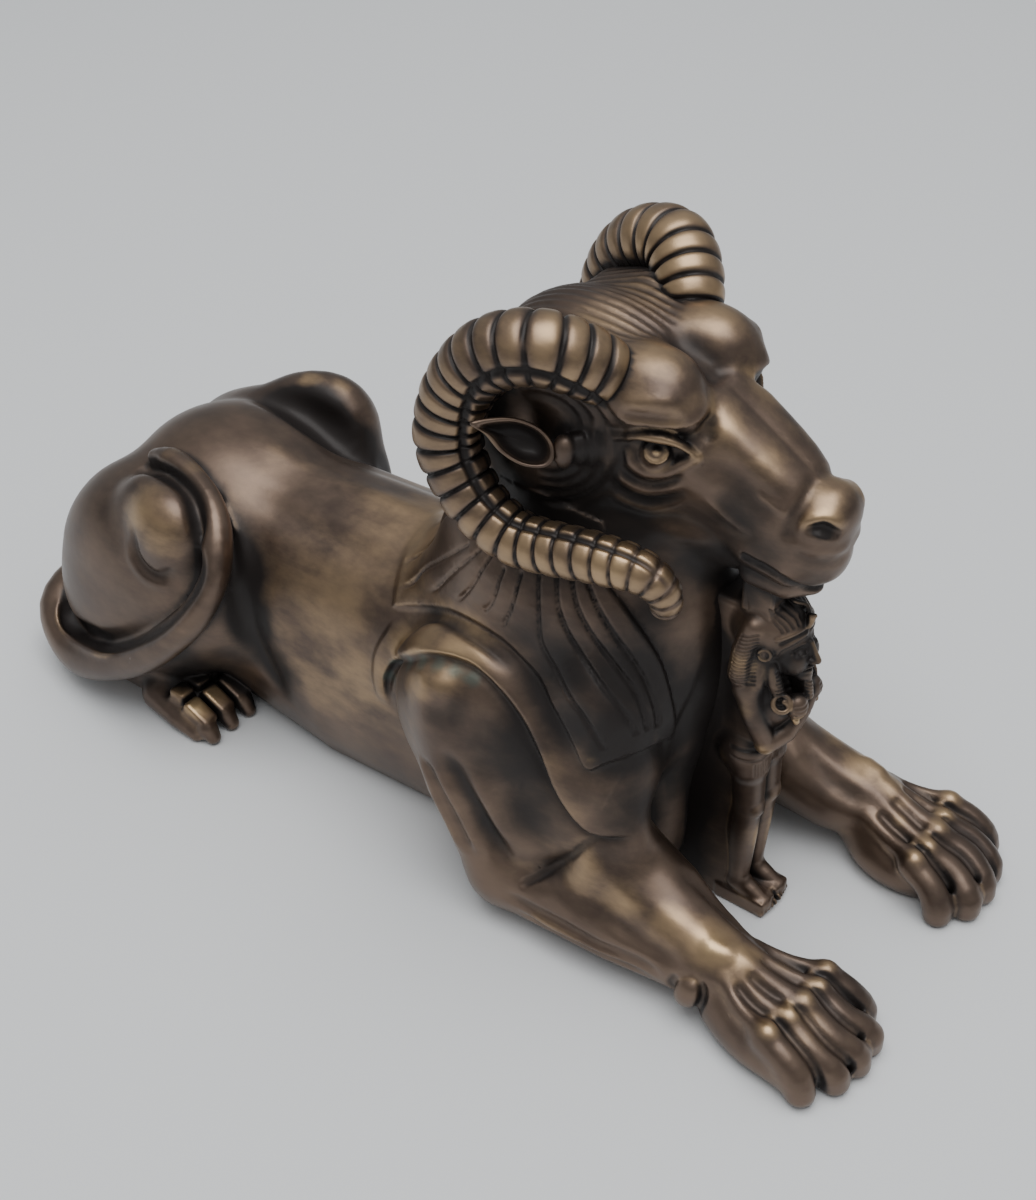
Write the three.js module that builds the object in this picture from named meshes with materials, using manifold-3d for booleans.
// Ram-headed lion figurine, one solid casting, in millimetres.
// X runs towards the forepaws, Y towards the statue's left, Z up from the flat underside.
import * as THREE from "three";
import { mergeVertices } from "three/addons/utils/BufferGeometryUtils.js";
import Module from "manifold-3d";

const wasm = await Module();
wasm.setup();

// Driving dimensions. The figure is drawn about an eighth larger and scaled to its length at the end.
const overallLength = 220;
const backHeight = 40; // axis of the back above the table
const backRadius = 26;
const bellyRadius = 27;
const haunchSide = 28; // centre of a haunch from the middle plane
const shoulderSide = 30;
const forelegSide = 31; // axis of a foreleg from the middle plane
const kneeHeight = 56;
const wristX = 84;
const headHeight = 124;
const hornRings = 25;
const kingX = 68;
const kingHeight = 88;
const coarseCell = 3.6;
const fineCell = 3;

// Small helpers for points and smooth joins
const mix = (a, b, t) => a + (b - a) * t;
const clamp = (v, low, high) => Math.min(Math.max(v, low), high);
const join = (a, b, k) => {
  const h = Math.max(k - Math.abs(a - b), 0) / k;
  return Math.min(a, b) - (h * h * k) / 4;
};

// A limb is a chain of tapered round rods, each point being x, y, z and radius.
function limb(...points) {
  const box = new THREE.Box3();
  for (const [x, y, z, r] of points) {
    box.expandByPoint(new THREE.Vector3(x - r, y - r, z - r));
    box.expandByPoint(new THREE.Vector3(x + r, y + r, z + r));
  }
  const rods = points.slice(1).map((b, i) => {
    const a = points[i];
    const d = [b[0] - a[0], b[1] - a[1], b[2] - a[2]];
    return { a, d, dr: b[3] - a[3], dd: d[0] * d[0] + d[1] * d[1] + d[2] * d[2] };
  });
  const at = (x, y, z) => {
    let best = 1e9;
    for (const { a, d, dr, dd } of rods) {
      const px = x - a[0], py = y - a[1], pz = z - a[2];
      const t = clamp((px * d[0] + py * d[1] + pz * d[2]) / dd, 0, 1);
      const far = Math.hypot(px - d[0] * t, py - d[1] * t, pz - d[2] * t);
      best = Math.min(best, far - a[3] - dr * t);
    }
    return best;
  };
  return { box, at };
}

// An egg is an ellipsoid with its own turn about X, Y and Z in degrees.
function egg(centre, radii, turn = [0, 0, 0]) {
  const rad = turn.map(THREE.MathUtils.degToRad);
  const m = new THREE.Matrix4().makeRotationFromEuler(new THREE.Euler(...rad)).transpose().elements;
  const [cx, cy, cz] = centre;
  const [rx, ry, rz] = radii;
  const reach = Math.max(...radii);
  const middle = new THREE.Vector3(...centre);
  const box = new THREE.Box3(middle.clone().subScalar(reach), middle.clone().addScalar(reach));
  const at = (x, y, z) => {
    const px = x - cx, py = y - cy, pz = z - cz;
    const qx = (m[0] * px + m[4] * py + m[8] * pz) / rx;
    const qy = (m[1] * px + m[5] * py + m[9] * pz) / ry;
    const qz = (m[2] * px + m[6] * py + m[10] * pz) / rz;
    const k0 = Math.hypot(qx, qy, qz);
    const k1 = Math.hypot(qx / rx, qy / ry, qz / rz);
    return k1 < 1e-9 ? -Math.min(rx, ry, rz) : (k0 * (k0 - 1)) / k1;
  };
  return { box, at };
}

// The flesh of the animal: each entry is a shape, its blend radius and whether it has a mirror twin.
const s = shoulderSide, f = forelegSide, h = haunchSide;
const flesh = [
  // trunk
  { shape: egg([-88, 0, 41], [32, 30, 31], [0, 4, 0]), k: 8 },
  { shape: limb([-88, 0, 40, 25], [-60, 0, backHeight, backRadius], [-20, 0, 41, 27], [12, 0, 46, 29]), k: 8 },
  { shape: limb([-80, 0, 17, 24], [-40, 0, 16, bellyRadius], [5, 0, 17, 26], [30, 0, 14, 22]), k: 14 },
  // chest and neck
  { shape: egg([22, 0, 68], [36, 28, 38]), k: 12 },
  { shape: limb([34, 0, 10, 17], [37, 0, 45, 20], [39, 0, 80, 19], [40, 0, 98, 15]), k: 10 },
  { shape: limb([20, 0, 86, 24], [27, 0, 110, 17]), k: 10 },
  // head
  { shape: egg([28, 0, headHeight], [24, 17, 19], [0, 10, 0]), k: 8 },
  { shape: egg([17, 0, 116], [20, 20, 22]), k: 7 },
  { shape: egg([22, 14, 123], [18, 7.5, 18]), k: 3, twin: true },
  { shape: limb([46, 0, 120, 15], [60, 0, 114, 12], [75, 0, 107, 10.5]), k: 7 },
  { shape: limb([44, 0, 104, 10], [60, 0, 101, 8], [74, 0, 98, 6.5]), k: 6 },
  { shape: limb([43, 12, 132, 6.5], [51, 10, 132, 5.5]), k: 6, twin: true },
  // haunches
  { shape: egg([-94, h, 35], [33, 13, 26], [0, -34, 0]), k: 7, twin: true },
  { shape: egg([-83, h + 1, kneeHeight], [13, 9.5, 12.5], [0, 10, 0]), k: 6, twin: true },
  { shape: egg([-102, h - 2, 20], [22, 13, 20]), k: 8, twin: true },
  { shape: limb([-108, h + 2, 8, 8], [-88, h + 4, 7, 7.5], [-76, h + 7, 5, 6.5]), k: 4, twin: true },
  // shoulders and forelegs
  { shape: egg([14, s, 44], [22, 11, 27], [0, -18, 0]), k: 7, twin: true },
  { shape: limb([9, s + 2, 56, 9.5], [14, s + 4, 32, 9.5], [24, f + 3, 12, 9.5]), k: 5, twin: true },
  { shape: egg([40, s - 2, 32], [20, 9, 17], [0, 35, 0]), k: 6, twin: true },
  { shape: limb([26, f + 2, 11, 10.5], [55, f + 1, 11.5, 10.5], [wristX, f, 12, 8.8]), k: 5, twin: true },
  { shape: egg([98, f, 6], [14.5, 15.5, 9]), k: 5, twin: true },
];

function fleshAt(x, y, z) {
  let d = 1e3;
  for (const { shape, k, twin } of flesh) {
    const yy = twin ? Math.abs(y) : y;
    const { min, max } = shape.box;
    const gap = Math.max(min.x - x, x - max.x, min.y - yy, yy - max.y, min.z - z, z - max.z);
    if (gap < d + k) d = join(d, shape.at(x, yy, z), k);
  }
  return Math.max(d, -5 - z);
}

// Grid lines that are close together at the front, where the detail is.
function lines(from, to, cell) {
  const out = [from];
  while (out.at(-1) < to) out.push(out.at(-1) + cell(out.at(-1)));
  return out;
}

// Turns a field into a closed mesh: one point per sheet of surface in a cell, one quad per crossed edge.
function skin(at, xs, ys, zs) {
  const [nx, ny, nz] = [xs.length, ys.length, zs.length];
  const id = (i, j, k) => (i * ny + j) * nz + k;
  const value = new Float64Array(nx * ny * nz);
  for (let i = 0; i < nx; i++)
    for (let j = 0; j < ny; j++)
      for (let k = 0; k < nz; k++) value[id(i, j, k)] = at(xs[i], ys[j], zs[k]) || 1e-6;
  const steps = [[1, 0, 0], [0, 1, 0], [0, 0, 1]];
  // cell edges as start corner and axis, and cell faces as their four edges in turn
  const edges = [];
  for (let axis = 0; axis < 3; axis++)
    for (const [p, q] of [[0, 0], [1, 0], [0, 1], [1, 1]]) {
      const c = [0, 0, 0];
      c[(axis + 1) % 3] = p;
      c[(axis + 2) % 3] = q;
      edges.push({ axis, c });
    }
  const edgeOf = (axis, c) => edges.findIndex((e) => e.axis === axis && e.c.every((v, i) => v === c[i]));
  const faces = [];
  for (let axis = 0; axis < 3; axis++)
    for (const side of [0, 1]) {
      const u = (axis + 1) % 3, v = (axis + 2) % 3;
      const corner = (a, b) => {
        const c = [0, 0, 0];
        c[axis] = side;
        c[u] = a;
        c[v] = b;
        return c;
      };
      const corners = [corner(0, 0), corner(1, 0), corner(1, 1), corner(0, 1)];
      const [first, second] = [corner(0, 0), corner(1, 0)];
      const around = [edgeOf(u, first), edgeOf(v, second), edgeOf(u, corner(0, 1)), edgeOf(v, first)];
      faces.push({ corners, around });
    }
  const points = [];
  const owner = new Map();
  for (let i = 0; i + 1 < nx; i++)
    for (let j = 0; j + 1 < ny; j++)
      for (let k = 0; k + 1 < nz; k++) {
        const inside = (c) => value[id(i + c[0], j + c[1], k + c[2])] < 0;
        const crossed = edges.map(({ axis, c }) => {
          const e = c.map((v, a) => v + steps[axis][a]);
          return inside(c) !== inside(e);
        });
        if (!crossed.some(Boolean)) continue;
        const group = edges.map((_, n) => n);
        const find = (n) => (group[n] === n ? n : (group[n] = find(group[n])));
        for (const { corners, around } of faces) {
          const hit = around.filter((n) => crossed[n]);
          if (hit.length === 2) group[find(hit[0])] = find(hit[1]);
          if (hit.length === 4)
            for (let c = 0; c < 4; c++)
              if (inside(corners[c])) group[find(around[c])] = find(around[(c + 3) % 4]);
        }
        const sheets = new Map();
        edges.forEach(({ axis, c }, n) => {
          if (!crossed[n]) return;
          const g = find(n);
          const a = [xs[i + c[0]], ys[j + c[1]], zs[k + c[2]]];
          const e = c.map((v, m) => v + steps[axis][m]);
          const b = [xs[i + e[0]], ys[j + e[1]], zs[k + e[2]]];
          const va = value[id(i + c[0], j + c[1], k + c[2])];
          const vb = value[id(i + e[0], j + e[1], k + e[2])];
          const t = va / (va - vb);
          if (!sheets.has(g)) sheets.set(g, { sum: [0, 0, 0], n: 0 });
          const sheet = sheets.get(g);
          sheet.sum = sheet.sum.map((v, m) => v + mix(a[m], b[m], t));
          sheet.n++;
          owner.set((id(i, j, k) * 12 + n), g);
        });
        for (const [g, { sum, n }] of sheets) {
          const p = sum.map((v) => v / n);
          // two short steps along the slope bring the point onto the surface
          for (let pass = 0; pass < 2; pass++) {
            const d = at(...p), e = 0.2;
            const slope = [0, 1, 2].map((m) => {
              const q = [...p];
              q[m] += e;
              return (at(...q) - d) / e;
            });
            const len = Math.max(Math.hypot(...slope), 0.3);
            const move = clamp(d / (len * len), -0.6, 0.6);
            for (let m = 0; m < 3; m++) p[m] -= move * slope[m];
          }
          owner.set("p" + (id(i, j, k) * 12 + g), points.length / 3);
          points.push(...p);
        }
      }
  const vertex = (i, j, k, n) => owner.get("p" + (id(i, j, k) * 12 + owner.get(id(i, j, k) * 12 + n)));
  const index = [];
  for (let i = 1; i + 1 < nx; i++)
    for (let j = 1; j + 1 < ny; j++)
      for (let k = 1; k + 1 < nz; k++)
        for (let axis = 0; axis < 3; axis++) {
          const a = value[id(i, j, k)] < 0;
          const b = value[id(i + steps[axis][0], j + steps[axis][1], k + steps[axis][2])] < 0;
          if (a === b) continue;
          const u = steps[(axis + 1) % 3], v = steps[(axis + 2) % 3];
          const ring = [[0, 0], [1, 0], [1, 1], [0, 1]].map(([p, q]) => {
            const c = [0, 0, 0];
            c[(axis + 1) % 3] = p;
            c[(axis + 2) % 3] = q;
            const [di, dj, dk] = u.map((_, m) => p * u[m] + q * v[m]);
            return vertex(i - di, j - dj, k - dk, edgeOf(axis, c));
          });
          if (b) ring.reverse();
          const at3 = (n) => new THREE.Vector3().fromArray(points, 3 * n);
          const short = at3(ring[0]).distanceTo(at3(ring[2])) <= at3(ring[1]).distanceTo(at3(ring[3]));
          const [p, q, r, t] = short ? ring : [ring[1], ring[2], ring[3], ring[0]];
          index.push(p, q, r, p, r, t);
        }
  const geometry = new THREE.BufferGeometry();
  geometry.setAttribute("position", new THREE.Float32BufferAttribute(points, 3));
  geometry.setIndex(index);
  return geometry;
}

// Closed geometry to a solid for joining and cutting
function solid(geometry) {
  const g = geometry.clone();
  g.deleteAttribute("normal");
  g.deleteAttribute("uv");
  const merged = mergeVertices(g, 1e-4);
  return new wasm.Manifold(new wasm.Mesh({
    numProp: 3,
    vertProperties: merged.attributes.position.array,
    triVerts: new Uint32Array(merged.index.array),
  }));
}

// A tube of round sections along a smooth curve through points of x, y, z and radius.
// The ripple makes rings: it scales the radius of each section by its place along the tube.
function tube(points, { sides = 8, steps = 12, ripple = () => 1, flat = 1 }) {
  const stations = points.map(([x, y, z]) => new THREE.Vector3(x, y, z));
  const curve = new THREE.CatmullRomCurve3(stations, false, "centripetal");
  const frames = curve.computeFrenetFrames(steps, false);
  const radiusAt = (t) => {
    const u = t * (points.length - 1), i = Math.min(Math.floor(u), points.length - 2);
    return mix(points[i][3], points[i + 1][3], u - i);
  };
  const position = [], index = [];
  for (let i = 0; i <= steps; i++) {
    const u = i / steps;
    const centre = curve.getPointAt(u);
    const r = radiusAt(curve.getUtoTmapping(u)) * ripple(u, i);
    for (let j = 0; j < sides; j++) {
      const a = (j / sides) * 2 * Math.PI;
      const p = centre.clone()
        .addScaledVector(frames.normals[i], r * Math.cos(a))
        .addScaledVector(frames.binormals[i], r * flat * Math.sin(a));
      position.push(...p);
    }
  }
  const start = position.length / 3;
  position.push(...curve.getPointAt(0), ...curve.getPointAt(1));
  for (let i = 0; i < steps; i++)
    for (let j = 0; j < sides; j++) {
      const a = i * sides + j, b = i * sides + ((j + 1) % sides), c = a + sides, d = b + sides;
      index.push(a, b, d, a, d, c);
    }
  for (let j = 0; j < sides; j++) {
    const k = (j + 1) % sides;
    index.push(start, k, j, start + 1, steps * sides + j, steps * sides + k);
  }
  const g = new THREE.BufferGeometry();
  g.setAttribute("position", new THREE.Float32BufferAttribute(position, 3));
  g.setIndex(index);
  return g;
}

// The same points on the statue's right or left side
const onSide = (side, points) => points.map(([x, y, z, r]) => [x, side * y, z, r]);

// A horn rises from the brow, turns back and down round the ear and comes forward to the jaw.
const hornPath = [
  [37, 12, 135, 6], [33.5, 17, 140.6, 7.2], [26.5, 23, 144.6, 7.5], [11.8, 26.5, 135.9, 7.5],
  [6.9, 28.5, 117.7, 7.2], [12.7, 29, 106.6, 6.6], [27, 28, 101.6, 6], [42.5, 26, 104.2, 5.7],
  [52.9, 24, 104, 4.8], [57.3, 22, 98.6, 3.6], [56.5, 21, 92.8, 2.4],
];

function hornOf(side) {
  const ripple = (u, i) => (i % 2 ? 1.04 : 0.88);
  return tube(onSide(side, hornPath), { sides: 8, steps: 2 * hornRings, ripple });
}

// Toes fan out from the knuckles to the ground.
const toeRoots = [[98.2, 42.6], [99.7, 36.9], [100.6, 31.3], [100.6, 26], [99.9, 20.5]];
const toeEnds = [[107, 45.5], [111, 38.8], [112.6, 32.4], [112.2, 25.4], [108, 17.6]];

function toesOf(side) {
  return toeRoots.map(([x, y], i) => {
    const [ex, ey] = toeEnds[i];
    const path = [
      [x - 12, mix(y, forelegSide, 0.35), 11, 3], [x, y, 12, 3.2],
      [mix(x, ex, 0.55), mix(y, ey, 0.55), 9, 3.1], [ex, ey, 3.6, 3.2], [ex, ey, 1, 2.4],
    ];
    return tube(onSide(side, path), { sides: 5, steps: 6 });
  });
}

// The tail leaves the rump, drops to the ground and climbs over the right haunch.
const tailPath = [
  [-112, -2, 28, 6], [-124, -18, 21, 6.4], [-128, -32, 13.5, 6.2], [-112, -40.5, 9.5, 5.8],
  [-89, -42, 21, 5.4], [-71, -41, 39, 5.2], [-64.5, -36, 52, 5], [-66, -31, 60, 4.6],
  [-72, -26, 64.5, 4.2], [-82, -22, 66.5, 3.8], [-91, -19, 67, 3],
];

// Hind toes in a row at the front of each hind foot
function hindToesOf(side) {
  return [0, 1, 2, 3].map((i) => {
    const y = haunchSide + 4 * i;
    const path = [
      [-86, y, 8, 2.6], [-76, y + 0.6, 8.4, 2.7], [-70 + i, y + 1, 5.5, 2.6], [-68 + i, y + 1, 1, 2.2],
    ];
    return tube(onSide(side, path), { sides: 5, steps: 4 });
  });
}

// A leaf-shaped ear stands out from the head inside the horn.
function earOf(side) {
  const path = [
    [29, 15, 120, 3.2], [28, 22, 121.5, 5.4], [24.5, 27, 123.5, 6], [20.5, 31, 126.5, 3.6],
    [17.5, 34, 129.4, 0.7],
  ];
  return tube(onSide(side, path), { sides: 8, steps: 7, flat: 0.55 });
}

// The cape of grooved mane on one side: strands run from under the horn to the edge over the shoulder.
const capeTop = [[-4, 14, 90], [10, 19, 98], [24, 20, 100], [34, 19, 97], [40, 17, 92]];
const capeEdge = [
  [-18, 21, 59], [-9, 22, 63.5], [4, 26, 70], [14, 29, 72.5], [22.5, 29.5, 70], [30, 29, 63.6],
  [35.5, 28.5, 55], [42.5, 28, 48], [47, 22, 47], [50.5, 17, 48], [54.4, 12, 51],
];
const capeSway = [-1, -2, -4, -4, -2, 3];

function along(points, t) {
  const u = clamp(t, 0, 1) * (points.length - 1), i = Math.min(Math.floor(u), points.length - 2);
  return typeof points[0] === "number"
    ? mix(points[i], points[i + 1], u - i)
    : points[i].map((v, m) => mix(v, points[i + 1][m], u - i));
}

// Moves a point level and away from the middle of the neck, to the given cover over the flesh.
const neckX = 18;

function onFlesh([x, y, z], cover) {
  const reach = Math.hypot(x - neckX, y), dx = (x - neckX) / reach, dy = y / reach;
  let low = reach - 8, high = reach + 8;
  for (let i = 0; i < 16; i++) {
    const r = (low + high) / 2;
    if (fleshAt(neckX + dx * r, dy * r, z) < cover) low = r;
    else high = r;
  }
  return [neckX + dx * low, dy * low, z];
}

function capeOf(side) {
  const strands = 9, rows = 5, columns = 2 * strands;
  const outer = [], inner = [];
  for (let i = 0; i <= columns; i++)
    for (let j = 0; j <= rows; j++) {
      const u = i / columns, v = j / rows;
      const top = along(capeTop, u), edge = along(capeEdge, u);
      const place = top.map((t, m) => mix(t, edge[m], v));
      place[0] += along(capeSway, u) * 4 * v * (1 - v);
      const [x, y, z] = onFlesh(place, i % 2 || j === rows ? 2.4 : 1);
      const [ix, iy] = onFlesh(place, -4);
      outer.push(x, side * y, z);
      inner.push(ix, side * iy, z);
    }
  const n = outer.length / 3, index = [];
  const quad = (a, b, c, d) => (side < 0 ? index.push(a, b, c, a, c, d) : index.push(a, c, b, a, d, c));
  const id = (i, j) => i * (rows + 1) + j;
  for (let i = 0; i < columns; i++)
    for (let j = 0; j < rows; j++) {
      quad(id(i, j), id(i, j + 1), id(i + 1, j + 1), id(i + 1, j));
      quad(n + id(i, j), n + id(i + 1, j), n + id(i + 1, j + 1), n + id(i, j + 1));
    }
  for (let i = 0; i < columns; i++) {
    quad(id(i, 0), id(i + 1, 0), n + id(i + 1, 0), n + id(i, 0));
    quad(id(i, rows), n + id(i, rows), n + id(i + 1, rows), id(i + 1, rows));
  }
  for (let j = 0; j < rows; j++) {
    quad(id(0, j), n + id(0, j), n + id(0, j + 1), id(0, j + 1));
    quad(id(columns, j), id(columns, j + 1), n + id(columns, j + 1), n + id(columns, j));
  }
  const g = new THREE.BufferGeometry();
  g.setAttribute("position", new THREE.Float32BufferAttribute([...outer, ...inner], 3));
  g.setIndex(index);
  return g;
}

// The small king stands against the chest under the chin, with crossed arms.
function ball(x, y, z, rx, ry, rz) {
  return new THREE.SphereGeometry(1, 10, 7).rotateX(Math.PI / 2).scale(rx, ry, rz).translate(x, y, z);
}

function block(x0, x1, y0, y1, z0, z1) {
  const made = new THREE.BoxGeometry(x1 - x0, y1 - y0, z1 - z0);
  return made.translate((x0 + x1) / 2, (y0 + y1) / 2, (z0 + z1) / 2);
}

function kingParts() {
  const x = kingX, top = kingHeight;
  const torso = [[x - 1, 0, 72, 6], [x, 0, 63, 8], [x - 1, 0, 53, 6.4], [x - 1, 0, 44, 6.8]];
  const cobra = [[x + 5, 0, top - 5, 1.8], [x + 9, 0, top - 2.5, 1.5], [x + 9.5, 0, top + 0.5, 1]];
  const arm = [[x, 8, 67, 3], [x + 2, 8.6, 58, 3], [x + 7.5, 3.5, 63, 2.6], [x + 9, 0, 65, 2.2]];
  const lappet = [[x + 2, 6.4, 80, 2.8], [x + 3, 6.4, 72, 2.6], [x + 4, 5, 66, 2]];
  const leg = [[x - 1, 3.4, 46, 4.2], [x - 0.5, 3.2, 28, 3.5], [x, 3, 13, 2.9], [x - 1, 3, 3, 3.2]];
  const parts = [
    ball(x + 3.5, 0, top - 10.5, 6.5, 6, 8), // head
    ball(x, 0, top - 8.5, 8.5, 8.4, 9.5), // headdress
    tube(torso, { sides: 10, steps: 6, flat: 0.95 }),
    tube(cobra, { sides: 6, steps: 3 }),
    block(48, x - 3, -5.5, 5.5, -2, top - 2), // web behind the king's back
    block(60, x + 3, -6.5, 6.5, top - 3, top + 8), // block between headdress and chin
  ];
  for (const side of [-1, 1])
    parts.push(
      tube(onSide(side, arm), { sides: 6, steps: 6 }),
      tube(onSide(side, lappet), { sides: 6, steps: 3 }),
      tube(onSide(side, leg), { sides: 8, steps: 5 }),
      block(x - 6, x + 7, side * 3.5 - 3, side * 3.5 + 3, -1, 6), // foot
    );
  return parts;
}

// Collapses the edges that matter least to the form until the target count of triangles is reached.
function thin(geometry, target) {
  const pos = [...geometry.attributes.position.array];
  const tris = [];
  const idx = geometry.index.array;
  for (let i = 0; i < idx.length; i += 3) tris.push([idx[i], idx[i + 1], idx[i + 2]]);
  const count = pos.length / 3;
  const around = Array.from({ length: count }, () => new Set());
  tris.forEach((t, i) => t.forEach((v) => around[v].add(i)));
  const at = (v) => [pos[3 * v], pos[3 * v + 1], pos[3 * v + 2]];
  const normalOf = (a, b, c) => {
    const u = [b[0] - a[0], b[1] - a[1], b[2] - a[2]], v = [c[0] - a[0], c[1] - a[1], c[2] - a[2]];
    return [u[1] * v[2] - u[2] * v[1], u[2] * v[0] - u[0] * v[2], u[0] * v[1] - u[1] * v[0]];
  };
  // each quadric sums the squared distances to the planes round a point, weighted by their areas
  const quadric = Array.from({ length: count }, () => new Float64Array(10));
  for (const t of tris) {
    const a = at(t[0]), n = normalOf(a, at(t[1]), at(t[2]));
    const len = Math.hypot(...n) || 1e-12;
    const [x, y, z] = n.map((v) => v / len);
    const w = -(x * a[0] + y * a[1] + z * a[2]);
    const q = [x * x, x * y, x * z, x * w, y * y, y * z, y * w, z * z, z * w, w * w];
    for (const v of t) for (let i = 0; i < 10; i++) quadric[v][i] += q[i] * len;
  }
  const error = (q, [x, y, z]) =>
    q[0] * x * x + 2 * q[1] * x * y + 2 * q[2] * x * z + 2 * q[3] * x + q[4] * y * y +
    2 * q[5] * y * z + 2 * q[6] * y + q[7] * z * z + 2 * q[8] * z + q[9];
  const stamp = new Uint32Array(count);
  const heap = [];
  const push = (e) => {
    let i = heap.push(e) - 1;
    while (i && heap[(i - 1) >> 1].cost > heap[i].cost) {
      const p = (i - 1) >> 1;
      [heap[p], heap[i]] = [heap[i], heap[p]];
      i = p;
    }
  };
  const pop = () => {
    const top = heap[0], last = heap.pop();
    if (heap.length) {
      heap[0] = last;
      for (let i = 0; ; ) {
        let c = 2 * i + 1;
        if (c >= heap.length) break;
        if (c + 1 < heap.length && heap[c + 1].cost < heap[c].cost) c++;
        if (heap[c].cost >= heap[i].cost) break;
        [heap[c], heap[i]] = [heap[i], heap[c]];
        i = c;
      }
    }
    return top;
  };
  const offer = (a, b) => {
    const q = quadric[a].map((v, i) => v + quadric[b][i]);
    const pa = at(a), pb = at(b), middle = pa.map((v, i) => (v + pb[i]) / 2);
    const [cost, place] = [middle, pa, pb].map((p) => [error(q, p), p]).sort((m, n) => m[0] - n[0])[0];
    const long = (pa[0] - pb[0]) ** 2 + (pa[1] - pb[1]) ** 2 + (pa[2] - pb[2]) ** 2;
    push({ cost: cost + 0.002 * long, a, b, place, sa: stamp[a], sb: stamp[b] });
  };
  const neighbours = (v) => new Set([...around[v]].flatMap((t) => tris[t]).filter((n) => n !== v));
  for (let v = 0; v < count; v++) for (const n of neighbours(v)) if (n > v) offer(v, n);
  let left = tris.length;
  while (left > target && heap.length) {
    const { a, b, place, sa, sb } = pop();
    if (stamp[a] !== sa || stamp[b] !== sb) continue;
    const na = neighbours(a), nb = neighbours(b);
    if ([...na].filter((n) => nb.has(n)).length !== 2) continue;
    const flips = [a, b].some((v) => [...around[v]].some((t) => {
      const tri = tris[t];
      if (tri.includes(a) && tri.includes(b)) return false;
      const before = normalOf(...tri.map(at));
      const after = normalOf(...tri.map((n) => (n === v ? place : at(n))));
      const dot = before[0] * after[0] + before[1] * after[1] + before[2] * after[2];
      return dot < 0.35 * Math.hypot(...before) * Math.hypot(...after) || Math.hypot(...after) < 0.05;
    }));
    if (flips) continue;
    for (const t of around[b]) {
      const tri = tris[t];
      if (tri.includes(a)) {
        tri.forEach((v) => v !== b && around[v].delete(t));
        tris[t] = null;
        left--;
      } else {
        tri[tri.indexOf(b)] = a;
        around[a].add(t);
      }
    }
    around[b].clear();
    place.forEach((v, i) => (pos[3 * a + i] = v));
    for (let i = 0; i < 10; i++) quadric[a][i] += quadric[b][i];
    stamp[a]++;
    stamp[b]++;
    for (const n of neighbours(a)) offer(a, n);
  }
  const g = new THREE.BufferGeometry();
  g.setAttribute("position", new THREE.Float32BufferAttribute(pos, 3));
  g.setIndex(tris.filter(Boolean).flat());
  return mergeVertices(g.toNonIndexed(), 1e-4);
}

const xs = lines(-136, 124, (v) => (v < -10 ? coarseCell : fineCell));
const ys = lines(-58, 58, () => 3);
const zs = lines(-10, 160, () => 3);
let body = solid(thin(skin(fleshAt, xs, ys, zs), 2600));

const added = [tube(tailPath, { sides: 9, steps: 18 }), ...kingParts()];
for (const side of [-1, 1])
  added.push(hornOf(side), earOf(side), capeOf(side), ...toesOf(side), ...hindToesOf(side));
for (const geometry of added) body = body.add(solid(geometry));

const table = new THREE.BoxGeometry(400, 400, 60).translate(0, 0, -30);
body = body.subtract(solid(table));

const mesh = body.getMesh();
const positions = new Float32Array(mesh.numVert * 3);
for (let i = 0; i < mesh.numVert; i++)
  positions.set(mesh.vertProperties.subarray(i * mesh.numProp, i * mesh.numProp + 3), 3 * i);
const figure = new THREE.BufferGeometry();
figure.setAttribute("position", new THREE.BufferAttribute(positions, 3));
figure.setIndex(new THREE.BufferAttribute(new Uint32Array(mesh.triVerts), 1));

const bronze = new THREE.MeshStandardMaterial({ color: 0x4a3a2c, metalness: 0.8, roughness: 0.4 });
// the origin is on the underside, in the middle of the figure's length and width
figure.computeBoundingBox();
const centre = figure.boundingBox.getCenter(new THREE.Vector3());
const drawn = figure.boundingBox.getSize(new THREE.Vector3());
figure.translate(-centre.x, -centre.y, 0).scale(...Array(3).fill(overallLength / drawn.x));
const ram = new THREE.Mesh(figure, bronze);
ram.name = "ram_sphinx";
const statue = new THREE.Group();
statue.add(ram);
export default statue;
